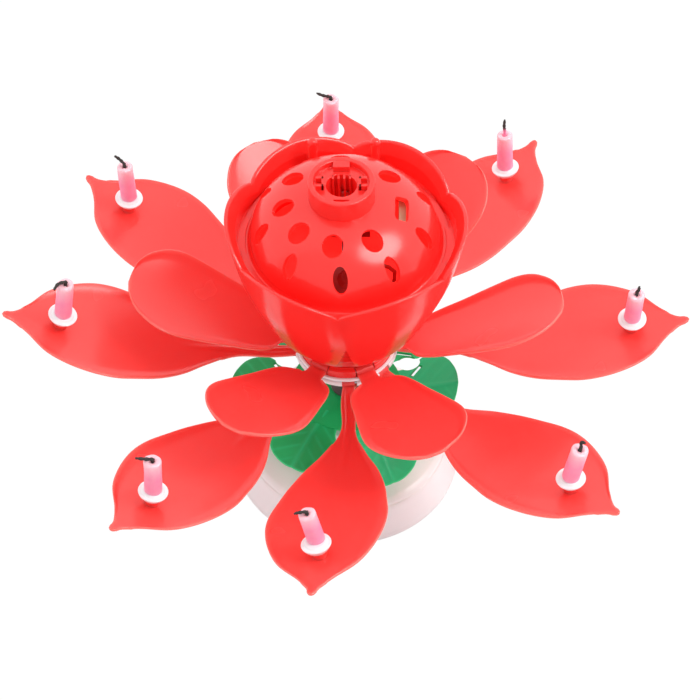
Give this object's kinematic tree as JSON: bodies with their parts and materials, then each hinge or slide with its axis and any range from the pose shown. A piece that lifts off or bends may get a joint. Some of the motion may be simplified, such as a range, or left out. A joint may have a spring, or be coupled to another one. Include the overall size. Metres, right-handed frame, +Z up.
{
  "type": "musical lotus birthday candle",
  "caption": "Opened lotus flower candle on a round stand: hinged petals carry small candles round a pierced dome with a socket for a fountain candle.",
  "frame": {"origin": "centre of the stand's flat underside", "axes": "+Z up along the stem and the flower's turning axis; -Y towards the viewer of the picture, +X to the viewer's right"},
  "size_m": [0.204, 0.2051, 0.1258],
  "materials": {
    "red": "glossy thin moulded polypropylene, slightly translucent",
    "white": "glossy white moulded plastic",
    "green": "satin moulded leaf green with raised veins",
    "wax": "waxy pink",
    "wick": "charred braided cotton",
    "stem": "dark moulded plastic",
    "wire": "drawn steel wire",
    "motor": "plated steel can",
    "board": "bare tan circuit board",
    "holder": "dark moulded plastic",
    "cell": "bright nickel plate",
    "brass": "bare brass disc",
    "lead": "red insulated lead"
  },
  "bodies": {
    "stand": {"stand_shell": "white", "stand_plate": "white", "stem_post": "stem", "spindle": "wire", "leaf_whorl": "green"},
    "flower": {"hub_ring": "white", "outer_hinge_wire": "wire", "inner_hinge_wire": "wire", "cup": "red", "dome_cap": "red", "spin_motor": "motor", "board_tray": "red", "battery_holder": "holder", "button_cell_1": "cell", "button_cell_2": "cell", "sounder": "brass", "sound_board": "board", "trigger_contact": "wire", "lead_wire": "lead"},
    "outer_set_1": {"outer_petal_1": "red", "candle_dish_1": "white", "candle_1": "wax", "wick_1": "wick"},
    "outer_set_2": {"outer_petal_2": "red", "candle_dish_2": "white", "candle_2": "wax", "wick_2": "wick"},
    "outer_set_3": {"outer_petal_3": "red", "candle_dish_3": "white", "candle_3": "wax", "wick_3": "wick"},
    "outer_set_4": {"outer_petal_4": "red", "candle_dish_4": "white", "candle_4": "wax", "wick_4": "wick"},
    "outer_set_5": {"outer_petal_5": "red", "candle_dish_5": "white", "candle_5": "wax", "wick_5": "wick"},
    "outer_set_6": {"outer_petal_6": "red", "candle_dish_6": "white", "candle_6": "wax", "wick_6": "wick"},
    "outer_set_7": {"outer_petal_7": "red", "candle_dish_7": "white", "candle_7": "wax", "wick_7": "wick"},
    "outer_set_8": {"outer_petal_8": "red", "candle_dish_8": "white", "candle_8": "wax", "wick_8": "wick"},
    "inner_set_1": {"inner_petal_1": "red"},
    "inner_set_2": {"inner_petal_2": "red"},
    "inner_set_3": {"inner_petal_3": "red"},
    "inner_set_4": {"inner_petal_4": "red"},
    "inner_set_5": {"inner_petal_5": "red"},
    "inner_set_6": {"inner_petal_6": "red"}
  },
  "joints": [
    {"name": "flower_spin", "type": "hinge", "parent": "stand", "child": "flower", "pos_m": [0, 0, 0.0528], "axis": [0, 0, 1], "continuous": true},
    {"name": "outer_petal_1_hinge", "type": "hinge", "parent": "flower", "child": "outer_set_1", "pos_m": [0.01347, 0.00094, 0.05285], "axis": [0.0698, -0.9976, 0], "range_deg": [0, 46.8]},
    {"name": "outer_petal_2_hinge", "type": "hinge", "parent": "flower", "child": "outer_set_2", "pos_m": [0.00886, 0.01019, 0.05285], "axis": [0.7547, -0.6561, 0], "range_deg": [0, 44.6]},
    {"name": "outer_petal_3_hinge", "type": "hinge", "parent": "flower", "child": "outer_set_3", "pos_m": [-0.00094, 0.01347, 0.05285], "axis": [0.9976, 0.0698, 0], "range_deg": [0, 47.6]},
    {"name": "outer_petal_4_hinge", "type": "hinge", "parent": "flower", "child": "outer_set_4", "pos_m": [-0.01019, 0.00886, 0.05285], "axis": [0.6561, 0.7547, 0], "range_deg": [0, 41.4]},
    {"name": "outer_petal_5_hinge", "type": "hinge", "parent": "flower", "child": "outer_set_5", "pos_m": [-0.01347, -0.00094, 0.05285], "axis": [-0.0698, 0.9976, 0], "range_deg": [0, 35]},
    {"name": "outer_petal_6_hinge", "type": "hinge", "parent": "flower", "child": "outer_set_6", "pos_m": [-0.00886, -0.01019, 0.05285], "axis": [-0.7547, 0.6561, 0], "range_deg": [0, 32.8]},
    {"name": "outer_petal_7_hinge", "type": "hinge", "parent": "flower", "child": "outer_set_7", "pos_m": [0.00094, -0.01347, 0.05285], "axis": [-0.9976, -0.0698, 0], "range_deg": [0, 38.9]},
    {"name": "outer_petal_8_hinge", "type": "hinge", "parent": "flower", "child": "outer_set_8", "pos_m": [0.01019, -0.00886, 0.05285], "axis": [-0.6561, -0.7547, 0], "range_deg": [0, 40.7]},
    {"name": "inner_petal_1_hinge", "type": "hinge", "parent": "flower", "child": "inner_set_1", "pos_m": [0.01264, -0.0012, 0.05685], "axis": [-0.0941, -0.9956, 0], "range_deg": [0, 32.5]},
    {"name": "inner_petal_2_hinge", "type": "hinge", "parent": "flower", "child": "inner_set_2", "pos_m": [0.00736, 0.01035, 0.05685], "axis": [0.8151, -0.5793, 0], "range_deg": [0, 27.4]},
    {"name": "inner_petal_3_hinge", "type": "hinge", "parent": "flower", "child": "inner_set_3", "pos_m": [-0.00529, 0.01155, 0.05685], "axis": [0.9092, 0.4163, 0], "range_deg": [0, 24.3]},
    {"name": "inner_petal_4_hinge", "type": "hinge", "parent": "flower", "child": "inner_set_4", "pos_m": [-0.01264, 0.0012, 0.05685], "axis": [0.0941, 0.9956, 0], "range_deg": [0, 33.1]},
    {"name": "inner_petal_5_hinge", "type": "hinge", "parent": "flower", "child": "inner_set_5", "pos_m": [-0.00736, -0.01035, 0.05685], "axis": [-0.8151, 0.5793, 0], "range_deg": [0, 30.1]},
    {"name": "inner_petal_6_hinge", "type": "hinge", "parent": "flower", "child": "inner_set_6", "pos_m": [0.00529, -0.01155, 0.05685], "axis": [-0.9092, -0.4163, 0], "range_deg": [0, 35]}
  ],
  "couplings": [
    {"joint": "outer_petal_1_hinge", "follows": "outer_petal_2_hinge", "ratio": 1.0493},
    {"joint": "outer_petal_3_hinge", "follows": "outer_petal_2_hinge", "ratio": 1.0673},
    {"joint": "outer_petal_4_hinge", "follows": "outer_petal_2_hinge", "ratio": 0.92825},
    {"joint": "outer_petal_5_hinge", "follows": "outer_petal_2_hinge", "ratio": 0.78475},
    {"joint": "outer_petal_6_hinge", "follows": "outer_petal_2_hinge", "ratio": 0.73542},
    {"joint": "outer_petal_7_hinge", "follows": "outer_petal_2_hinge", "ratio": 0.87219},
    {"joint": "outer_petal_8_hinge", "follows": "outer_petal_2_hinge", "ratio": 0.91255},
    {"joint": "inner_petal_1_hinge", "follows": "outer_petal_2_hinge", "ratio": 0.72869},
    {"joint": "inner_petal_2_hinge", "follows": "outer_petal_2_hinge", "ratio": 0.61434},
    {"joint": "inner_petal_3_hinge", "follows": "outer_petal_2_hinge", "ratio": 0.54484},
    {"joint": "inner_petal_4_hinge", "follows": "outer_petal_2_hinge", "ratio": 0.74215},
    {"joint": "inner_petal_5_hinge", "follows": "outer_petal_2_hinge", "ratio": 0.67488},
    {"joint": "inner_petal_6_hinge", "follows": "outer_petal_2_hinge", "ratio": 0.78475}
  ]
}
